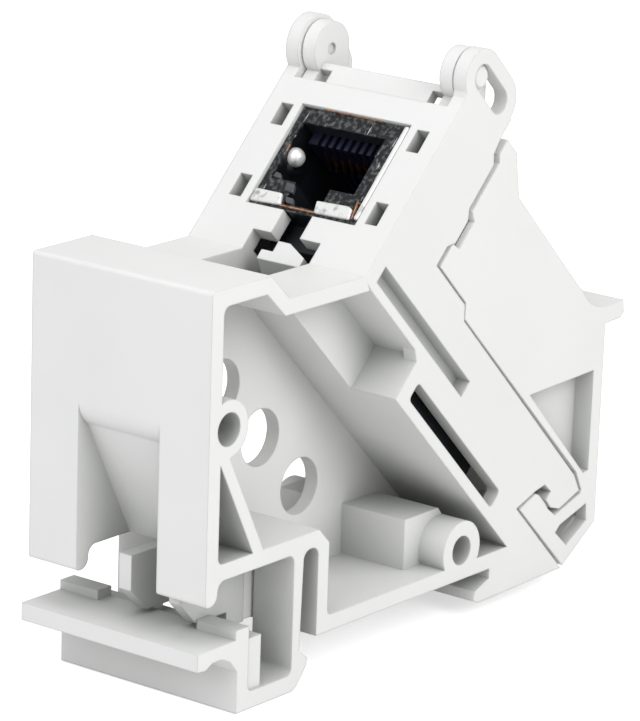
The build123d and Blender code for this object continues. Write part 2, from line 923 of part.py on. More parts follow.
with BuildPart() as rear_cover:
    # Outer shape with the rear tab, the heel and the hook fingers
    with BuildSketch(Plane.XZ):
        with BuildLine():
            Polyline(
                tab_hollow[-1],
                *tab_tip,
                (cover_rear_x + tab_under_run, tab_under_z),
                (cover_rear_x, cover_corner_z),
                cover_heel,
                slant(hook_split_depth + cover_split_run, hook_split_rise + seam),
                *finger_shape,
                slant(seam_step_depth + cover_step_run, cover_seam_rise),
                slant(seam_step_depth, shoulder_rise + seam),
                slant(cover_steps[0][0], shoulder_rise + seam),
                *[slant(depth, shoulder_rise + lift) for depth, lift in cover_steps],
                slant(cover_steps[-1][0], cover_head_rise - cover_head_step),
                slant(cover_head_depth, cover_head_rise),
                slant(cover_head_depth, cover_top_rise),
                slant(cover_top_end, cover_top_rise),
                slant(cover_back_start - cover_bend[0], cover_back_rise + cover_bend[1]),
                slant(cover_back_start, cover_back_rise),
                slant(tab_start_depth, cover_back_rise),
                tab_hollow[0],
            )
            ThreePointArc(*tab_hollow)
        make_face()
    extrude(amount=half_width, both=True)

    # Hollow inside
    with BuildSketch(Plane.XZ):
        with BuildLine():
            Polyline(
                slant(hollow_front, cover_back_rise - cover_roof),
                slant(hollow_roof_end, cover_back_rise - cover_roof),
                (rear_inner_x, tab_under_z + hollow_low_step),
                (rear_inner_x, cover_corner_z + heel_lift - heel_slope * cover_roof),
                (hollow_heel_x, hollow_heel_z),
                slant(hollow_front, hook_split_rise - hollow_low_step),
                close=True,
            )
        make_face()
    extrude(amount=cover_inner, both=True, mode=Mode.SUBTRACT)

    # Pockets in the sides and the small windows at the lower rear corner
    for y_high, deep in both_sides(half_width - pocket_deep - pocket_backing, cover_inner):
        with BuildSketch(side_plane(y_high)):
            with BuildLine():
                Polyline(*pocket_shape, close=True)
            make_face()
            offset(amount=pocket_backing)
        extrude(amount=deep)
    for y_high, deep in both_sides(half_width - pocket_deep, half_width):
        with BuildSketch(side_plane(y_high)):
            with BuildLine():
                Polyline(*pocket_shape, close=True)
            make_face()
        extrude(amount=deep, mode=Mode.SUBTRACT)
    for y_high, deep in both_sides(cover_inner, half_width):
        with BuildSketch(side_plane(y_high)):
            with BuildLine():
                Polyline(*corner_window, close=True)
            make_face()
        extrude(amount=deep, mode=Mode.SUBTRACT)

    # Rebate that clears the tongue of the housing
    with BuildSketch(slanted_side(half_width - tongue_depth + tongue_side_gap)):
        with BuildLine():
            Polyline(*tongue_outline(tongue_room, tongue_end + nose_room), close=True)
        make_face()
    extrude(amount=width - 2 * (tongue_depth - tongue_side_gap), mode=Mode.SUBTRACT)

    # Neck between the ears: a plate across the front and a floor behind it
    with BuildSketch(slanted_side(disc_outer)):
        with BuildLine():
            Polyline(
                (neck_front, neck_rise),
                (neck_front, cover_top_rise),
                (neck_front + neck_plate, cover_top_rise),
                (neck_front + neck_plate, neck_rise + neck_floor),
                (cover_top_end, neck_rise + neck_floor),
                (cover_top_end, neck_rise),
                close=True,
            )
        make_face()
    extrude(amount=2 * disc_outer)
    for y_high in (disc_inner, neck_hole_wide - disc_inner):
        with BuildSketch(slanted_side(y_high)):
            with Locations((neck_front + neck_hole_long / 2, neck_rise + neck_hole_tall / 2)):
                Rectangle(neck_hole_long, neck_hole_tall)
        extrude(amount=neck_hole_wide, mode=Mode.SUBTRACT)

    # Discs inside the ears, each on a cheek that runs back to the cover
    disc_corner = disc_radius * tilt
    for y_high, deep in both_sides(disc_inner, disc_outer):
        with BuildSketch(slanted_side(y_high)):
            with Locations((pin_depth, ear_slot_rise)):
                Circle(disc_radius)
            with BuildLine():
                Polyline(
                    (neck_front, neck_rise),
                    (neck_front, ear_slot_rise),
                    (pin_depth + disc_corner, ear_slot_rise + disc_corner),
                    (pin_depth + 2 * disc_corner + ear_slot_rise - cover_top_rise, cover_top_rise),
                    (cover_top_end, cover_top_rise),
                    (cover_top_end, neck_rise),
                    close=True,
                )
            make_face()
        extrude(amount=deep)

    # Dimples on the inner faces of the discs
    for y_high, deep in both_sides(disc_inner, disc_inner + dimple_deep):
        with BuildSketch(slanted_side(y_high)):
            with Locations((pin_depth, ear_slot_rise)):
                Circle(dimple_radius)
        extrude(amount=deep, mode=Mode.SUBTRACT)

    # Pins through the ear slots
    for y_high, deep in both_sides(disc_outer - disc_plate / 2, half_width - pin_recess):
        with BuildSketch(slanted_side(y_high)):
            with Locations((pin_depth, ear_slot_rise)):
                Circle(pin_radius)
        extrude(amount=deep)
    pin_ends = rear_cover.faces().filter_by(Axis.Y).filter_by(
        lambda face: abs(abs(face.center().Y) - half_width + pin_recess) < seam / 10
    )
    chamfer(pin_ends.edges(), pin_chamfer)

    # Way out for the cable in the rear wall
    with BuildSketch(Plane.YZ.offset(rear_inner_x - 1)):
        with Locations((0, (outlet_low_z + outlet_high_z) / 2)):
            RectangleRounded(2 * outlet_half_width, outlet_high_z - outlet_low_z, outlet_round)
    extrude(amount=cover_roof + 2, mode=Mode.SUBTRACT)

rear_cover.part.label = "rear_cover"
export_step(rear_cover.part, "parts/rear_cover.step")


# Metal frame of the socket: folded sheet with a collar round the mouth
frame_mid = (frame_low_rise + frame_high_rise) / 2
frame_tall = frame_high_rise - frame_low_rise
mouth_mid = (mouth_low_rise + mouth_high_rise) / 2
mouth_tall = mouth_high_rise - mouth_low_rise
mouth_centre = (mouth_near + mouth_far) / 2
mouth_wide = mouth_far - mouth_near
notch_centre = (latch_notch_near + latch_notch_far) / 2
notch_mid = (latch_notch_rise + mouth_low_rise) / 2
notch_wide = latch_notch_far - latch_notch_near


def mouth_opening():
    """The plug's opening with the notch for its latch, drawn in a sketch."""
    with Locations((mouth_centre, mouth_mid)):
        Rectangle(mouth_wide, mouth_tall)
    with Locations((notch_centre, notch_mid)):
        Rectangle(notch_wide, mouth_low_rise - latch_notch_rise)


with BuildPart() as jack_shield:
    with BuildSketch(socket_plane(frame_depth)):
        with Locations((0, frame_mid)):
            Rectangle(2 * frame_half_width, frame_tall)
    extrude(amount=frame_length)
    with BuildSketch(socket_plane(frame_depth + sheet)):
        with Locations((0, frame_mid)):
            Rectangle(2 * (frame_half_width - sheet), frame_tall - 2 * sheet)
    extrude(amount=frame_length, mode=Mode.SUBTRACT)
    with BuildSketch(socket_plane(frame_depth)):
        for collar_y in (mouth_near - sheet / 2, mouth_far + sheet / 2):
            with Locations((collar_y, mouth_mid)):
                Rectangle(sheet, mouth_tall)
    extrude(amount=collar_length)
    with BuildSketch(socket_plane(frame_depth)):
        mouth_opening()
    extrude(amount=sheet, mode=Mode.SUBTRACT)
    with BuildSketch(socket_plane(lower_block_start)):
        with Locations((0, frame_low_rise)):
            Rectangle(2 * (lower_block_half + fit_gap), 4 * sheet)
    extrude(amount=frame_length, mode=Mode.SUBTRACT)
    dome_x, dome_z = slant(frame_depth + dome_depth, dome_rise)
    for collar_y, inward in ((mouth_near - sheet / 2, 1), (mouth_far + sheet / 2, -1)):
        dome_plane = Plane(origin=(dome_x, collar_y, dome_z), x_dir=(1, 0, -1), z_dir=(0, inward, 0))
        with BuildSketch(dome_plane):
            Circle(dome_radius)
        extrude(amount=sheet / 2 + dome_out, taper=dome_taper)

jack_shield.part.label = "jack_shield"
export_step(jack_shield.part, "parts/jack_shield.step")


# Black body of the socket with the room for the plug
body_half = frame_half_width - sheet - fit_gap
body_low = frame_low_rise + sheet
body_high = frame_high_rise - sheet - fit_gap
body_start = frame_depth + sheet
body_end = body_start + body_front_length
board_start = body_end + board_gap
contact_offsets = [
    mouth_centre + (index - (contact_count - 1) / 2) * contact_pitch
    for index in range(contact_count)
]
comb_length = body_end - comb_front

with BuildPart() as jack_body:
    with BuildSketch(socket_plane(body_start)):
        with Locations((0, (body_low + body_high) / 2)):
            Rectangle(2 * body_half, body_high - body_low)
    extrude(amount=body_front_length)
    with BuildSketch(slanted_side(lower_block_half)):
        with BuildLine():
            Polyline(
                (lower_block_start, body_low + body_root),
                (lower_block_start, lower_block_rise),
                (lever_root_depth + lever_room, floor_rise + lower_block_rear),
                (lever_root_depth + lever_room, floor_rise),
                (body_end, floor_rise),
                (body_end, body_low + body_root),
                close=True,
            )
        make_face()
    extrude(amount=2 * lower_block_half)
    # Room for the plug and its latch, wider at the collar of the frame
    with BuildSketch(socket_plane(body_start)):
        mouth_opening()
    extrude(amount=plug_length, mode=Mode.SUBTRACT)
    collar_near = mouth_near - sheet - fit_gap
    with BuildSketch(socket_plane(body_start)):
        with Locations(((collar_near + frame_half_width) / 2, mouth_mid)):
            Rectangle(frame_half_width - collar_near, mouth_tall + 2 * fit_gap)
    extrude(amount=collar_length - sheet + fit_gap, mode=Mode.SUBTRACT)
    # Seat of the contact comb in the roof
    with BuildSketch(socket_plane(comb_front - fit_gap)):
        with Locations((mouth_centre, (comb_low_rise + comb_high_rise) / 2)):
            Rectangle(2 * (comb_half_width + fit_gap), comb_high_rise - comb_low_rise)
    extrude(amount=comb_length + 1, mode=Mode.SUBTRACT)
    # Pads that carry the board
    with BuildSketch(socket_plane(body_end)):
        for side in (-1, 1):
            pad_y = side * (body_half - pad_inset)
            with Locations((pad_y, body_low + pad_tall), (pad_y, body_high - pad_tall)):
                Rectangle(pad_wide, pad_tall)
    extrude(amount=board_gap)

jack_body.part.label = "jack_body"
export_step(jack_body.part, "parts/jack_body.step")


# Dark blue comb that guides the eight contacts
with BuildPart() as contact_comb:
    with BuildSketch(socket_plane(comb_front)):
        with Locations((mouth_centre, (comb_low_rise + comb_high_rise) / 2)):
            Rectangle(2 * comb_half_width, comb_high_rise - comb_low_rise)
    extrude(amount=comb_length)
    with BuildSketch(socket_plane(comb_front)):
        for offset_y in contact_offsets:
            with Locations((offset_y, (comb_low_rise + contact_run_rise + contact_thick) / 2)):
                Rectangle(comb_slot, contact_run_rise + contact_thick - comb_low_rise)
    extrude(amount=comb_length, mode=Mode.SUBTRACT)

contact_comb.part.label = "contact_comb"
export_step(contact_comb.part, "parts/contact_comb.step")


# Eight contacts: each runs along its slot and springs down into the mouth
board_end = board_start + board_plate
for number, offset_y in enumerate(contact_offsets, start=1):
    with BuildPart() as contact:
        with BuildSketch(slanted_side(offset_y + contact_wide / 2)):
            with BuildLine():
                Polyline(
                    (board_end + contact_tail, contact_run_rise + contact_thick),
                    (contact_front, contact_run_rise + contact_thick),
                    (contact_front, contact_run_rise - contact_drop),
                    (contact_tip_depth, contact_tip_rise),
                    (contact_tip_depth + contact_thick / 2, contact_tip_rise + contact_thick),
                    (contact_front + contact_thick, contact_run_rise - contact_drop + contact_thick),
                    (contact_front + contact_thick, contact_run_rise),
                    (board_end + contact_tail, contact_run_rise),
                    close=True,
                )
            make_face()
        extrude(amount=contact_wide)
    contact.part.label = f"contact_{number}"
    export_step(contact.part, f"parts/contact_{number}.step")


# Circuit board behind the body
idc_spots = [
    ((column - (idc_columns - 1) / 2) * idc_pitch, rise)
    for rise in (idc_low_rise, idc_high_rise)
    for column in range(idc_columns)
]
with BuildPart() as jack_board:
    with BuildSketch(socket_plane(board_start)):
        with Locations((0, (board_low_rise + board_high_rise) / 2)):
            Rectangle(2 * board_half_width, board_high_rise - board_low_rise)
        with Locations([(y, contact_run_rise + contact_thick / 2) for y in contact_offsets]):
            Rectangle(board_hole, board_hole, mode=Mode.SUBTRACT)
        with Locations(idc_spots):
            Rectangle(board_hole, idc_tail_wide + idc_cell_gap, mode=Mode.SUBTRACT)
    extrude(amount=board_plate)

jack_board.part.label = "jack_board"
export_step(jack_board.part, "parts/jack_board.step")


# Black block that holds the cutting contacts
block_length = block_end - board_end
with BuildPart() as idc_block:
    with BuildSketch(socket_plane(board_end)):
        with Locations((0, (floor_rise + block_high_rise) / 2)):
            Rectangle(2 * block_half_width, block_high_rise - floor_rise)
    extrude(amount=block_length)
    with BuildSketch(socket_plane(board_end)):
        with Locations(idc_spots):
            Rectangle(idc_plate + 2 * idc_cell_gap, idc_wide)
        with Locations((mouth_centre, contact_run_rise + contact_thick / 2)):
            Rectangle(2 * comb_half_width, block_relief)
    extrude(amount=block_relief, mode=Mode.SUBTRACT)
    with BuildSketch(socket_plane(board_end)):
        with Locations(idc_spots):
            Rectangle(idc_plate + 2 * idc_cell_gap, idc_wide)
    extrude(amount=block_length, mode=Mode.SUBTRACT)
    with BuildSketch(socket_plane(block_end - idc_fork_deep)):
        with Locations(idc_spots):
            Rectangle(wire_slot_long, wire_slot_wide)
    extrude(amount=idc_fork_deep, mode=Mode.SUBTRACT)

idc_block.part.label = "idc_block"
export_step(idc_block.part, "parts/idc_block.step")


# Eight cutting contacts in two rows
for number, (spot_y, spot_rise) in enumerate(idc_spots, start=1):
    with BuildPart() as blade:
        with BuildSketch(slanted_side(spot_y + idc_plate / 2)):
            with Locations((board_end + idc_length / 2, spot_rise)):
                Rectangle(idc_length, idc_wide)
            with Locations((board_end - idc_tail_length / 2, spot_rise)):
                Rectangle(idc_tail_length, idc_tail_wide)
            with Locations((board_end + idc_length - idc_fork_deep / 2, spot_rise)):
                Rectangle(idc_fork_deep, idc_fork_gap, mode=Mode.SUBTRACT)
        extrude(amount=idc_plate)
    blade.part.label = f"idc_contact_{number}"
    export_step(blade.part, f"parts/idc_contact_{number}.step")


# Wire cap pressed against the block, with the hole for the cable
with BuildPart() as wire_cap:
    with BuildSketch(socket_plane(block_end)):
        with Locations((0, (floor_rise + block_high_rise) / 2)):
            Rectangle(
                2 * (cap_half_width - cap_rim),
                block_high_rise - floor_rise - 2 * cap_rim,
            )
    extrude(amount=cap_gap)
    with BuildSketch(socket_plane(block_end + cap_gap)):
        with Locations((0, (floor_rise + block_high_rise) / 2)):
            Rectangle(2 * cap_half_width, block_high_rise - floor_rise)
    extrude(amount=cap_end - block_end - cap_gap)
    with BuildSketch(socket_plane(block_end)):
        with Locations((0, cap_cable_rise)):
            Circle(cap_cable_radius)
    extrude(amount=cap_end - block_end, mode=Mode.SUBTRACT)

wire_cap.part.label = "wire_cap"
export_step(wire_cap.part, "parts/wire_cap.step")


# Copper strap round the block, in reach of the side windows
with BuildPart() as shield_strap:
    with BuildSketch(socket_plane(strap_front)):
        with Locations((0, (strap_foot_rise + block_high_rise + strap_plate) / 2)):
            Rectangle(
                2 * (block_half_width + strap_plate),
                block_high_rise + strap_plate - strap_foot_rise,
            )
        with Locations((0, (strap_foot_rise + block_high_rise) / 2)):
            Rectangle(
                2 * block_half_width,
                block_high_rise - strap_foot_rise,
                mode=Mode.SUBTRACT,
            )
    extrude(amount=strap_long)

shield_strap.part.label = "shield_strap"
export_step(shield_strap.part, "parts/shield_strap.step")
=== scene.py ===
import math

import bmesh
import bpy
from mathutils import Matrix, Vector


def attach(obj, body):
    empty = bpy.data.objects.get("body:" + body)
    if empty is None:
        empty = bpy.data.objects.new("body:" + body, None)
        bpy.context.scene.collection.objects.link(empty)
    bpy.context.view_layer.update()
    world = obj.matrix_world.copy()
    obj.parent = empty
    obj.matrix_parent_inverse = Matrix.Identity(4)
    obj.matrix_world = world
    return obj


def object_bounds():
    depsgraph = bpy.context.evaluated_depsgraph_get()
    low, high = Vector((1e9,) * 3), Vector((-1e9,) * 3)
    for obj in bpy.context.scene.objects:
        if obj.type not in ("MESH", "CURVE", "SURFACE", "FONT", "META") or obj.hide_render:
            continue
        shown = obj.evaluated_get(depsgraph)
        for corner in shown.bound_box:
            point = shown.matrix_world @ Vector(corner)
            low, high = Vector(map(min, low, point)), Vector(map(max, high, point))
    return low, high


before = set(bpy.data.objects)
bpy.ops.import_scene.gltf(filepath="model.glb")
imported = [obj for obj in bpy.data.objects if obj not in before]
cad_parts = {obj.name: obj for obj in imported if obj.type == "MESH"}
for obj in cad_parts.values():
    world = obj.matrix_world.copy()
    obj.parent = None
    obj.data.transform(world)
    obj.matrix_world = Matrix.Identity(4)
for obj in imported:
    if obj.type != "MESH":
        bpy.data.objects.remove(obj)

cad_low, cad_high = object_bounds()

# Housing: the large light-grey moulding that clips to the rail and carries the
# socket. Injection-moulded plastic with small rounded edges and a fine matt
# spark-eroded skin.
MM = 0.001
RELIEF_HEIGHT = 0.02 * MM


def node_material(name):
    """A new material with its node tree, its principled shader and its object coordinates."""
    material = bpy.data.materials.new(name)
    material.use_nodes = True
    shader = material.node_tree.nodes["Principled BSDF"]
    place = material.node_tree.nodes.new("ShaderNodeTexCoord")
    return material, material.node_tree, shader, place.outputs["Object"]


def grain(tree, place, scale, detail):
    """Fine noise over the object's own coordinates."""
    noise = tree.nodes.new("ShaderNodeTexNoise")
    noise.inputs["Scale"].default_value = scale
    noise.inputs["Detail"].default_value = detail
    tree.links.new(place, noise.inputs["Vector"])
    return noise.outputs["Fac"]


def ramp(tree, factor, stops, tones):
    """A colour that follows a factor between two stops."""
    colours = tree.nodes.new("ShaderNodeValToRGB")
    for element, stop, tone in zip(colours.color_ramp.elements, stops, tones):
        element.position = stop
        element.color = (*tone, 1)
    tree.links.new(factor, colours.inputs["Fac"])
    return colours.outputs["Color"]


def mixed(tree, factor, first, second, blend_type):
    """Two colours mixed by a factor, each of the three a node's output or a plain value."""
    mix = tree.nodes.new("ShaderNodeMix")
    mix.data_type = "RGBA"
    mix.blend_type = blend_type
    for socket, value in (("Factor", factor), ("A", first), ("B", second)):
        if isinstance(value, bpy.types.NodeSocket):
            tree.links.new(value, mix.inputs[socket])
        else:
            mix.inputs[socket].default_value = value
    return mix.outputs["Result"]


def bump(tree, shader, height, strength):
    """Relief of the skin, as a mould or a stamping tool leaves it."""
    relief = tree.nodes.new("ShaderNodeBump")
    relief.inputs["Strength"].default_value = strength
    relief.inputs["Distance"].default_value = RELIEF_HEIGHT
    tree.links.new(height, relief.inputs["Height"])
    tree.links.new(relief.outputs["Normal"], shader.inputs["Normal"])
    return relief


WHITE = (1, 1, 1)
DRIFT_STOPS = (0.3, 0.7)
FLOW_SCALE = 60
FLOW_DETAIL = 4
# Painted shade: how far, how dark and between which stops the plastic's colour is darkened in
# hollows and corners, where shade falls.
PAINTED_SHADE_REACH = 9 * MM
PAINTED_SHADE_TONE = (0.52, 0.53, 0.52)
PAINTED_SHADE_STOPS = (0.15, 0.85)
SOFT_LOOK = 0.30 * MM
LOOK_RAYS = 6
PLASTIC_ROUGHNESS = 0.48
PLASTIC_SHEEN = 0.35
SKIN_SCALE = 2600
SKIN_DETAIL = 2
SKIN_STRENGTH = 0.10
HOUSING_TONES = ((0.728, 0.732, 0.720), (0.752, 0.755, 0.744))


def light_plastic(name, tones):
    """Light grey matt plastic: fine eroded skin, soft edges, faint flow tones, and painted shade
    darkening its hollows.
    """
    material, tree, shader, place = node_material(name)
    flow = ramp(tree, grain(tree, place, FLOW_SCALE, FLOW_DETAIL), DRIFT_STOPS, tones)
    # Painted shade: an occlusion probe darkens the colour in hollows and corners, where shade
    # falls.
    corner = tree.nodes.new("ShaderNodeAmbientOcclusion")
    corner.samples = LOOK_RAYS
    corner.only_local = True
    corner.inputs["Distance"].default_value = PAINTED_SHADE_REACH
    painted_shade = ramp(tree, corner.outputs["AO"], PAINTED_SHADE_STOPS, (PAINTED_SHADE_TONE, WHITE))
    tree.links.new(mixed(tree, 1.0, flow, painted_shade, "MULTIPLY"), shader.inputs["Base Color"])
    shader.inputs["Roughness"].default_value = PLASTIC_ROUGHNESS
    shader.inputs["Specular IOR Level"].default_value = PLASTIC_SHEEN
    relief = bump(tree, shader, grain(tree, place, SKIN_SCALE, SKIN_DETAIL), SKIN_STRENGTH)
    softened = tree.nodes.new("ShaderNodeBevel")
    softened.samples = LOOK_RAYS
    softened.inputs["Radius"].default_value = SOFT_LOOK
    tree.links.new(softened.outputs["Normal"], relief.inputs["Normal"])
    return material


def dress(node_name, material):
    """Gives a carried-over CAD node its finish."""
    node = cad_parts[node_name]
    node.data.materials.clear()
    node.data.materials.append(material)


housing_plastic = light_plastic("housing_plastic", HOUSING_TONES)
dress("housing", housing_plastic)

# Tail of the housing's near rib: the thin end of the rib that stands in the gap
# before the spring arm. It is moulded in one with the housing.
TAIL_LOW = Vector((-21.4, -6.7, 1.9)) * MM
TAIL_HIGH = Vector((-18.6, -5.6, 10.8)) * MM
scene = bpy.context.scene


def new_piece(name, shape, material):
    """A finished shape as a piece of its own, fixed to the module."""
    mesh = bpy.data.meshes.new(name)
    shape.to_mesh(mesh)
    shape.free()
    mesh.materials.append(material)
    piece = bpy.data.objects.new(name, mesh)
    scene.collection.objects.link(piece)
    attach(piece, "module")
    return piece


tail_shape = bmesh.new()
bmesh.ops.create_cube(tail_shape, size=1.0)
bmesh.ops.scale(tail_shape, verts=tail_shape.verts, vec=TAIL_HIGH - TAIL_LOW)
bmesh.ops.translate(tail_shape, verts=tail_shape.verts, vec=(TAIL_HIGH + TAIL_LOW) / 2)
new_piece("rib_tail", tail_shape, housing_plastic)

# Rear cover: the second moulding, of the same plastic and a touch lighter. It
# hangs on its pins in the ears and hooks behind the nose at the bottom.
COVER_TONES = ((0.740, 0.743, 0.732), (0.764, 0.766, 0.755))
dress("rear_cover", light_plastic("cover_plastic", COVER_TONES))

# Metal frame of the socket: tinned steel sheet, stamped and folded, dull and
# scratched on its face, with painted shade inside the mouth that turns it plain dark.
FACE_X = -7.46
FACE_Z = 41.01
SLANT = math.sqrt(0.5)
BLACK = (0, 0, 0)
SHEET_DARK = (0.006, 0.007, 0.009)
SHEET_LIGHT = (0.125, 0.128, 0.130)
MOTTLE_SCALE = 2000
MOTTLE_DETAIL = 9
MOTTLE_STOPS = (0.47, 0.70)
SCRATCH_TONE = (0.55, 0.55, 0.54)
SCRATCH_TURN = (0.4, 0.7, 0.9)
SCRATCH_STRETCH = (1.0, 14.0, 2.0)
SCRATCH_SCALE = 260
SCRATCH_DETAIL = 4
SCRATCH_STOPS = (0.66, 0.70)
# Painted shade: between these depths into the socket face the sheet fades to plain dark, as the
# shade deep in the mouth.
MOUTH_SHADE_START = 0.5 * MM
MOUTH_SHADE_END = 0.9 * MM
SHEET_METALLIC = 0.20
SHEET_ROUGHNESS = 0.38
SHEET_STRENGTH = 0.20


def tinned_sheet():
    """Dull dark sheet with pale mottling and fine pale scratches on its face, and painted shade
    that turns it plain dark inside the mouth.
    """
    material, tree, shader, place = node_material("tinned_sheet")
    mottle = grain(tree, place, MOTTLE_SCALE, MOTTLE_DETAIL)
    base = ramp(tree, mottle, MOTTLE_STOPS, (SHEET_DARK, SHEET_LIGHT))
    stretch = tree.nodes.new("ShaderNodeMapping")
    stretch.inputs["Rotation"].default_value = SCRATCH_TURN
    stretch.inputs["Scale"].default_value = SCRATCH_STRETCH
    tree.links.new(place, stretch.inputs["Vector"])
    lines = grain(tree, stretch.outputs["Vector"], SCRATCH_SCALE, SCRATCH_DETAIL)
    scratches = ramp(tree, lines, SCRATCH_STOPS, (BLACK, WHITE))
    worn = mixed(tree, scratches, base, (*SCRATCH_TONE, 1), "MIX")
    # Painted shade: the depth into the face sets where the colour fades to the plain dark tone
    # inside the mouth.
    inward = tree.nodes.new("ShaderNodeVectorMath")
    inward.operation = "DOT_PRODUCT"
    inward.inputs[1].default_value = (SLANT, 0, -SLANT)
    tree.links.new(place, inward.inputs[0])
    mouth_shade = tree.nodes.new("ShaderNodeMapRange")
    face_level = (FACE_X - FACE_Z) * SLANT * MM
    mouth_shade.inputs["From Min"].default_value = face_level + MOUTH_SHADE_START
    mouth_shade.inputs["From Max"].default_value = face_level + MOUTH_SHADE_END
    tree.links.new(inward.outputs["Value"], mouth_shade.inputs["Value"])
    sheet_with_mouth_shade = mixed(tree, mouth_shade.outputs["Result"], worn, (*SHEET_DARK, 1), "MIX")
    tree.links.new(sheet_with_mouth_shade, shader.inputs["Base Color"])
    shader.inputs["Metallic"].default_value = SHEET_METALLIC
    shader.inputs["Roughness"].default_value = SHEET_ROUGHNESS
    bump(tree, shader, mottle, SHEET_STRENGTH)
    return material


dress("jack_shield", tinned_sheet())

# Folds of the metal frame: its sheet turned over to bright rounded beads, one
# along the right side and a broad one on each side of the latch notch.
SIDE_FOLD = ((18.70, -7.02), (18.70, -7.68), (5.75, -7.68), (5.75, -7.00))
LEFT_FOLD = ((7.05, 7.68), (7.05, 3.85), (5.55, 3.30), (5.35, 7.68))
RIGHT_FOLD = ((7.05, -1.10), (7.20, -5.60), (6.90, -6.30), (5.55, -6.55), (5.45, -1.55))
FOLD_ROUND = 0.24
ROUND_STEPS = 4
TIN_SCALE = 900
TIN_DETAIL = 5
TIN_STOPS = (0.30, 0.46)
TIN_TONES = ((0.42, 0.42, 0.41), (0.86, 0.86, 0.85))
TIN_METALLIC = 0.35
TIN_ROUGHNESS = 0.30
TIN_STRENGTH = 0.15


def on_face(depth, rise, side):
    """Point by its depth into the slanted socket face, its rise up it and its Y, in mm."""
    return Vector((FACE_X + (depth + rise) * SLANT, side, FACE_Z + (rise - depth) * SLANT)) * MM


def face_piece(name, plates, soft, material):
    """Round-edged plates lying in the socket face, each an outline between two depths."""
    shape = bmesh.new()
    for outline, outer, inner in plates:
        corners = [shape.verts.new(on_face(outer, rise, side)) for rise, side in outline]
        lid = shape.faces.new(corners)
        grown = bmesh.ops.extrude_face_region(shape, geom=[lid])
        moved = [item for item in grown["geom"] if isinstance(item, bmesh.types.BMVert)]
        bmesh.ops.translate(shape, verts=moved, vec=on_face(inner, 0, 0) - on_face(outer, 0, 0))
    bmesh.ops.recalc_face_normals(shape, faces=shape.faces[:])
    bmesh.ops.bevel(
        shape,
        geom=shape.edges[:],
        offset=soft * MM,
        offset_type="OFFSET",
        affect="EDGES",
        segments=ROUND_STEPS,
        profile=0.5,
        material=-1,
        clamp_overlap=True,
    )
    for face in shape.faces:
        face.smooth = True
    piece = new_piece(name, shape, material)
    piece.modifiers.new("even_shading", "WEIGHTED_NORMAL").keep_sharp = True


def drifting_finish(name, scale, detail, stops, tones, metallic, roughness):
    """A finish whose colour drifts between two tones, with what a relief on it needs."""
    material, tree, shader, place = node_material(name)
    drift = grain(tree, place, scale, detail)
    tree.links.new(ramp(tree, drift, stops, tones), shader.inputs["Base Color"])
    shader.inputs["Metallic"].default_value = metallic
    shader.inputs["Roughness"].default_value = roughness
    return material, tree, shader, place, drift


def bright_tin():
    """Bright rounded tin along the folds."""
    material, tree, shader, _, drift = drifting_finish(
        "bright_tin", TIN_SCALE, TIN_DETAIL, TIN_STOPS, TIN_TONES, TIN_METALLIC, TIN_ROUGHNESS
    )
    bump(tree, shader, drift, TIN_STRENGTH)
    return material


# The bright tin is the folds' own colour; on the spring dome it is a painted highlight.
tin_and_dome_highlight = bright_tin()
face_piece(
    "shield_folds",
    ((SIDE_FOLD, 0.05, 0.62), (LEFT_FOLD, 0.04, 0.60), (RIGHT_FOLD, 0.04, 0.60)),
    FOLD_ROUND,
    tin_and_dome_highlight,
)

# Cut edges of the metal frame: copper shows where the sheet was cut, as thin
# lines at the top, under the latch notch, left of the mouth and at the end of the
# right-hand fold.
TOP_CUT = ((18.92, 4.90), (18.80, 4.90), (18.72, -3.60), (18.84, -3.60))
NOTCH_CUT = ((5.62, 3.40), (5.62, -1.60), (5.44, -1.60), (5.44, 3.40))
MOUTH_CUT = ((13.60, 6.82), (13.60, 6.70), (12.60, 6.70), (12.60, 6.82))
FOLD_SIDE_CUT = ((7.85, -6.40), (7.85, -6.55), (5.75, -6.90), (5.75, -6.75))
FOLD_TOP_CUT = ((7.95, -6.40), (7.85, -7.10), (7.70, -7.10), (7.78, -6.40))
CUT_ROUND = 0.04
COPPER_SCALE = 1500
COPPER_DETAIL = 4
COPPER_STOPS = (0.35, 0.65)
COPPER_TONES = ((0.26, 0.11, 0.05), (0.58, 0.31, 0.19))
COPPER_METALLIC = 0.4
COPPER_ROUGHNESS = 0.4


def plain_finish(*finish):
    """A finish whose colour drifts between two tones, with no relief of its own."""
    return drifting_finish(*finish)[0]


shield_copper = plain_finish(
    "cut_copper",
    COPPER_SCALE,
    COPPER_DETAIL,
    COPPER_STOPS,
    COPPER_TONES,
    COPPER_METALLIC,
    COPPER_ROUGHNESS,
)
face_piece(
    "shield_cut_edges",
    (
        (TOP_CUT, 0.30, 0.60),
        (NOTCH_CUT, 0.20, 0.60),
        (MOUTH_CUT, 0.38, 0.60),
        (FOLD_SIDE_CUT, 0.10, 0.60),
        (FOLD_TOP_CUT, 0.10, 0.60),
    ),
    CUT_ROUND,
    shield_copper,
)

# Spring dome on the socket's left wall, pressed out of the same sheet: a bright
# tin ball on it is a painted highlight, standing in for the highlight on the dome.
DOME_CENTRE = (2.05, 12.9, 6.45)
DOME_RADIUS = 1.15 * MM
DOME_STEPS = 4
dome_shape = bmesh.new()
bmesh.ops.create_icosphere(dome_shape, subdivisions=DOME_STEPS, radius=DOME_RADIUS)
bmesh.ops.translate(dome_shape, verts=dome_shape.verts, vec=on_face(*DOME_CENTRE))
for dome_face in dome_shape.faces:
    dome_face.smooth = True
new_piece("shield_dome_highlight", dome_shape, tin_and_dome_highlight)

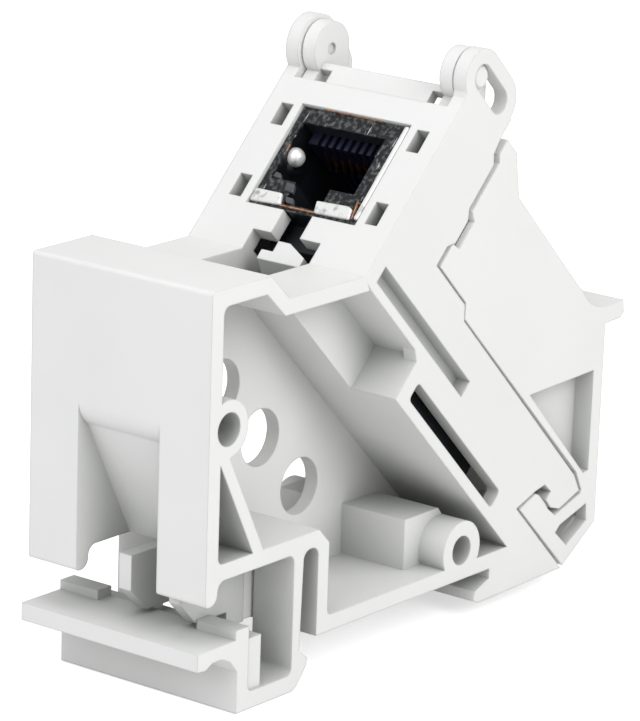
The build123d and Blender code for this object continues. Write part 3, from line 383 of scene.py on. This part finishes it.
# Socket's body, contact block and wire cap: three black plastic mouldings with a
# faintly grained skin, one behind the other inside the housing.
BLACK_SCALE = 300
BLACK_DETAIL = 3
BLACK_TONES = ((0.0035, 0.0040, 0.0070), (0.0080, 0.0090, 0.0140))
BLACK_ROUGHNESS = 0.5
BLACK_SKIN_SCALE = 2200
BLACK_STRENGTH = 0.15
DULL = 0.0


def black_plastic():
    """Black plastic with faint tones and a grained skin."""
    material, tree, shader, place, _ = drifting_finish(
        "black_plastic", BLACK_SCALE, BLACK_DETAIL, DRIFT_STOPS, BLACK_TONES, DULL, BLACK_ROUGHNESS
    )
    bump(tree, shader, grain(tree, place, BLACK_SKIN_SCALE, SKIN_DETAIL), BLACK_STRENGTH)
    return material


socket_black = black_plastic()
for node_name in ("jack_body", "idc_block", "wire_cap"):
    dress(node_name, socket_black)

# Contact comb: a dark blue plastic moulding, seated in the roof of the socket's
# body, that guides the eight contacts.
COMB_SCALE = 500
COMB_DETAIL = 3
COMB_TONES = ((0.002, 0.003, 0.014), (0.004, 0.006, 0.028))
COMB_ROUGHNESS = 0.4
comb_plastic = plain_finish(
    "comb_plastic", COMB_SCALE, COMB_DETAIL, DRIFT_STOPS, COMB_TONES, DULL, COMB_ROUGHNESS
)
dress("contact_comb", comb_plastic)

# Latch notch and stops: a black plate laid over the sheet where the latch notch
# runs on to the left, standing in for the notch's opening, partly the black plastic
# behind it and partly painted shade in it; and three small grey rounded stops.
NOTCH_OPENING = ((8.85, 4.85), (8.85, 3.10), (7.30, 3.10), (7.30, 4.45))
UPPER_STOP = ((8.62, 4.20), (8.52, 3.00), (7.40, 2.62), (7.52, 3.95))
LOWER_STOP = ((6.85, 3.36), (6.75, 2.20), (5.98, 1.80), (6.08, 2.95))
LEFT_STOP = ((9.75, 6.50), (9.60, 5.75), (8.95, 5.35), (9.05, 6.60))
NOTCH_OPENING_ROUND = 0.05
STOP_ROUND = 0.12
STOP_SCALE = 600
STOP_DETAIL = 3
STOP_TONES = ((0.050, 0.055, 0.062), (0.085, 0.090, 0.098))
STOP_ROUGHNESS = 0.45
# Painted shade: the black plate shows the notch's opening dark, partly from the black plastic
# behind it and partly from shade.
face_piece("latch_notch_opening", ((NOTCH_OPENING, 0.40, 0.60),), NOTCH_OPENING_ROUND, socket_black)
stop_plastic = plain_finish(
    "stop_plastic", STOP_SCALE, STOP_DETAIL, DRIFT_STOPS, STOP_TONES, DULL, STOP_ROUGHNESS
)
face_piece(
    "latch_stops",
    ((UPPER_STOP, 0.20, 0.80), (LOWER_STOP, 0.30, 0.90), (LEFT_STOP, 0.35, 0.90)),
    STOP_ROUND,
    stop_plastic,
)

# Contacts: eight gold-plated spring wires, each held in its slot of the comb,
# that spring down into the mouth.
PLACES = range(1, 9)
GOLD_SCALE = 1200
GOLD_DETAIL = 3
GOLD_TONES = ((0.36, 0.17, 0.07), (0.58, 0.32, 0.15))
GOLD_ROUGHNESS = 0.28
METAL = 1.0
contact_gold = plain_finish(
    "gold_plate", GOLD_SCALE, GOLD_DETAIL, DRIFT_STOPS, GOLD_TONES, METAL, GOLD_ROUGHNESS
)
for number in PLACES:
    dress(f"contact_{number}", contact_gold)

# Circuit board: a lacquered board behind the socket's body, which joins the
# spring wires to the cutting contacts.
INNER_SCALE = 700
INNER_DETAIL = 3
INNER_ROUGHNESS = 0.35
BOARD_TONES = ((0.01, 0.08, 0.03), (0.02, 0.12, 0.05))
board_lacquer = plain_finish(
    "board_lacquer", INNER_SCALE, INNER_DETAIL, DRIFT_STOPS, BOARD_TONES, DULL, INNER_ROUGHNESS
)
dress("jack_board", board_lacquer)

# Cutting contacts: eight tinned blades in two rows, held in the contact block,
# which cut into the cable's wires.
BLADE_TONES = ((0.45, 0.45, 0.44), (0.62, 0.62, 0.60))
blade_tin = plain_finish(
    "blade_tin", INNER_SCALE, INNER_DETAIL, DRIFT_STOPS, BLADE_TONES, METAL, INNER_ROUGHNESS
)
for number in PLACES:
    dress(f"idc_contact_{number}", blade_tin)

# Shield strap: a copper strip bent round the contact block, in reach of the side
# windows.
STRAP_TONES = ((0.50, 0.25, 0.13), (0.70, 0.38, 0.22))
strap_copper = plain_finish(
    "copper_strap", INNER_SCALE, INNER_DETAIL, DRIFT_STOPS, STRAP_TONES, METAL, INNER_ROUGHNESS
)
dress("shield_strap", strap_copper)

# Stage: a white paper sheet under and behind the object, which looks white to the
# camera and keeps the object's shadow.
FLOOR_SIZE = 2.0
FLOOR_GAP = 0.1 * MM
PAPER_TONE = 0.84
PAPER_GLOW = 0.55
PAPER_ROUGHNESS = 0.9
floor_shape = bmesh.new()
bmesh.ops.create_grid(floor_shape, x_segments=2, y_segments=2, size=FLOOR_SIZE / 2)
bmesh.ops.translate(floor_shape, verts=floor_shape.verts, vec=(0, 0, cad_low[2] - FLOOR_GAP))
floor_mesh = bpy.data.meshes.new("white_sheet")
floor_shape.to_mesh(floor_mesh)
floor_shape.free()
floor = bpy.data.objects.new("white_sheet", floor_mesh)
scene.collection.objects.link(floor)

paper = bpy.data.materials.new("white_paper")
paper.use_nodes = True
paper_tree = paper.node_tree
paper_shader = paper_tree.nodes["Principled BSDF"]
paper_shader.inputs["Base Color"].default_value = (PAPER_TONE, PAPER_TONE, PAPER_TONE, 1)
paper_shader.inputs["Roughness"].default_value = PAPER_ROUGHNESS
paper_shader.inputs["Specular IOR Level"].default_value = DULL
paper_shader.inputs["Emission Color"].default_value = (*WHITE, 1)
paper_ray = paper_tree.nodes.new("ShaderNodeLightPath")
glow = paper_tree.nodes.new("ShaderNodeMath")
glow.operation = "MULTIPLY"
glow.inputs[1].default_value = PAPER_GLOW
paper_tree.links.new(paper_ray.outputs["Is Camera Ray"], glow.inputs[0])
paper_tree.links.new(glow.outputs["Value"], paper_shader.inputs["Emission Strength"])
floor_mesh.materials.append(paper)

# Light: an even white room, which the camera sees as plain white, and three soft
# lamps above, beside and in front of the object.
ROOM_LEVEL = 0.60
SEEN_LEVEL = 1.0
TOP_WATTS = 0.80
TOP_PLACE = (-0.08, -0.06, 0.62)
TOP_SIZE = 0.45
NEAR_WATTS = 1.85
NEAR_PLACE = (-0.06, -0.53, 0.40)
FRONT_WATTS = 1.20
FRONT_PLACE = (-0.53, -0.06, 0.40)
FRONT_COLOUR = (0.96, 0.98, 1.0)
SIDE_SIZE = 0.40
world = bpy.data.worlds.new("soft_room")
scene.world = world
world.use_nodes = True
world_tree = world.node_tree
sky = world_tree.nodes["Background"]
sky.inputs["Color"].default_value = (*WHITE, 1)
room_ray = world_tree.nodes.new("ShaderNodeLightPath")
level = world_tree.nodes.new("ShaderNodeMix")
level.data_type = "FLOAT"
level.inputs["A"].default_value = ROOM_LEVEL
level.inputs["B"].default_value = SEEN_LEVEL
world_tree.links.new(room_ray.outputs["Is Camera Ray"], level.inputs["Factor"])
world_tree.links.new(level.outputs["Result"], sky.inputs["Strength"])
middle = Vector([(low + high) / 2 for low, high in zip(cad_low, cad_high)])


def soft_lamp(name, place, size, watts, colour):
    """A large soft lamp aimed at the middle of the object."""
    light = bpy.data.lights.new(name, "AREA")
    light.size = size
    light.energy = watts
    light.color = colour
    lamp = bpy.data.objects.new(name, light)
    lamp.location = place
    lamp.rotation_euler = (Vector(place) - middle).to_track_quat("Z", "Y").to_euler()
    scene.collection.objects.link(lamp)


soft_lamp("top_box", TOP_PLACE, TOP_SIZE, TOP_WATTS, WHITE)
soft_lamp("near_box", NEAR_PLACE, SIDE_SIZE, NEAR_WATTS, WHITE)
soft_lamp("front_box", FRONT_PLACE, SIDE_SIZE, FRONT_WATTS, FRONT_COLOUR)

# Camera of the photograph: its bearing, climb and roll, and its focal length in
# pixels. One corner of the housing, its pixel and the scale there fix where the
# camera stands.
BEARING = math.radians(-52.047)
CLIMB = math.radians(15.754)
ROLL = math.radians(1.785)
FOCAL_PIXELS = 4421.7
PICTURE_WIDE = 640
PICTURE_TALL = 721
ANCHOR_PIXEL = (205.3, 609.5)
ANCHOR_POINT = Vector((-34.6, -12.8, 8.05)) * MM
PIXELS_PER_MM = 8.2 / 0.885
SENSOR_TALL = 36.0
CLIP_START = 0.01
anchor_depth = FOCAL_PIXELS / PIXELS_PER_MM * MM
flat = math.cos(CLIMB)
back = Vector((math.sin(BEARING) * flat, -math.cos(BEARING) * flat, math.sin(CLIMB)))
level_right = Vector((math.cos(BEARING), math.sin(BEARING), 0))
level_up = back.cross(level_right)
right = math.cos(ROLL) * level_right + math.sin(ROLL) * level_up
up = -math.sin(ROLL) * level_right + math.cos(ROLL) * level_up
offset_x = (ANCHOR_PIXEL[0] - PICTURE_WIDE / 2) / FOCAL_PIXELS * anchor_depth
offset_y = -(ANCHOR_PIXEL[1] - PICTURE_TALL / 2) / FOCAL_PIXELS * anchor_depth
eye = ANCHOR_POINT - right * offset_x - up * offset_y + back * anchor_depth
lens = bpy.data.cameras.new("photo_camera")
lens.sensor_fit = "VERTICAL"
lens.sensor_height = SENSOR_TALL
lens.lens = FOCAL_PIXELS / PICTURE_TALL * SENSOR_TALL
lens.clip_start = CLIP_START
camera = bpy.data.objects.new("photo_camera", lens)
camera.matrix_world = Matrix((
    (right.x, up.x, back.x, eye.x),
    (right.y, up.y, back.y, eye.y),
    (right.z, up.z, back.z, eye.z),
    (0, 0, 0, 1),
))
scene.collection.objects.link(camera)
scene.camera = camera
scene.view_settings.view_transform = "Standard"

bpy.context.view_layer.update()
